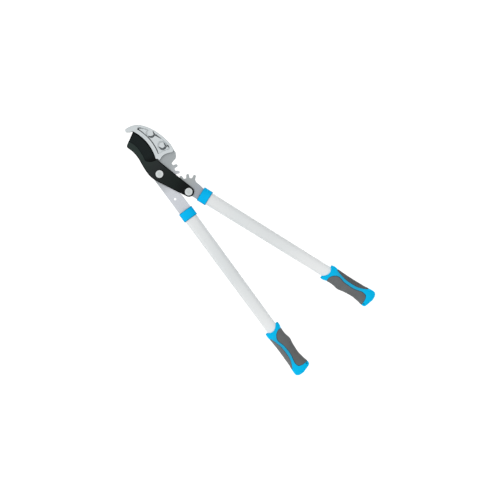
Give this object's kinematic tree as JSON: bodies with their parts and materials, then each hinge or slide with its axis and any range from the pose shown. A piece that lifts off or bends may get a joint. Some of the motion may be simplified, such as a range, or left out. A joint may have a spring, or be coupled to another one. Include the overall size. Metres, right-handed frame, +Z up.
{
  "type": "geared bypass lopper",
  "caption": "Geared bypass lopper: curved blade and hook jaw on toothed steel plates, and two long oval tube handles with soft grips.",
  "frame": {"origin": "on the ground under the middle of the bounding box of the closed lopper, which lies flat", "axes": "+Y towards the jaws, +Z up through the pivots from the nuts to the bolt heads, +X towards the handle of the gear pivot"},
  "size_m": [0.2898, 0.7524, 0.0289],
  "materials": {
    "steel": "stamped plate, satin",
    "silver_paint": "silver paint on a casting, semi-gloss",
    "zinc": "zinc plated",
    "dark_steel": "blackened",
    "black_coating": "non-stick coating, satin",
    "white_enamel": "gloss enamel on steel tube",
    "blue_plastic": "moulded, slight sheen",
    "white_nylon": "moulded",
    "grey_rubber": "soft over-moulding, matt"
  },
  "bodies": {
    "lower_handle": {"counter_plate": "steel", "hook_cover": "silver_paint", "cover_rivet_tip": "zinc", "cover_rivet_heel": "zinc", "main_pivot_bolt": "zinc", "main_pivot_washer": "dark_steel", "main_pivot_spring_washer": "zinc", "main_pivot_nut": "zinc", "lower_tube": "white_enamel", "lower_collar": "blue_plastic", "lower_tube_insert": "white_nylon", "lower_tang_pin": "zinc", "lower_grip_core": "blue_plastic", "lower_grip_finger_pad": "grey_rubber", "lower_grip_palm_pad": "grey_rubber"},
    "blade_body": {"blade": "black_coating", "gear_pivot_bolt": "zinc", "gear_pivot_washer": "dark_steel", "gear_pivot_spring_washer": "zinc", "gear_pivot_nut": "zinc"},
    "upper_handle": {"gear_plate": "steel", "upper_tube": "white_enamel", "upper_collar": "blue_plastic", "upper_tube_insert": "white_nylon", "upper_tang_pin": "zinc", "upper_grip_core": "blue_plastic", "upper_grip_finger_pad": "grey_rubber", "upper_grip_palm_pad": "grey_rubber"}
  },
  "joints": [
    {"name": "blade_pivot", "type": "hinge", "parent": "lower_handle", "child": "blade_body", "pos_m": [-0.00599, 0.23583, 0.0145], "axis": [0, 0, 1], "range_deg": [0, 60]},
    {"name": "gear_handle_pivot", "type": "hinge", "parent": "blade_body", "child": "upper_handle", "pos_m": [0.01145, 0.15121, 0.0145], "axis": [0, 0, 1], "range_deg": [0, 68]}
  ],
  "couplings": [
    {"joint": "gear_handle_pivot", "follows": "blade_pivot", "ratio": 1.1333}
  ]
}
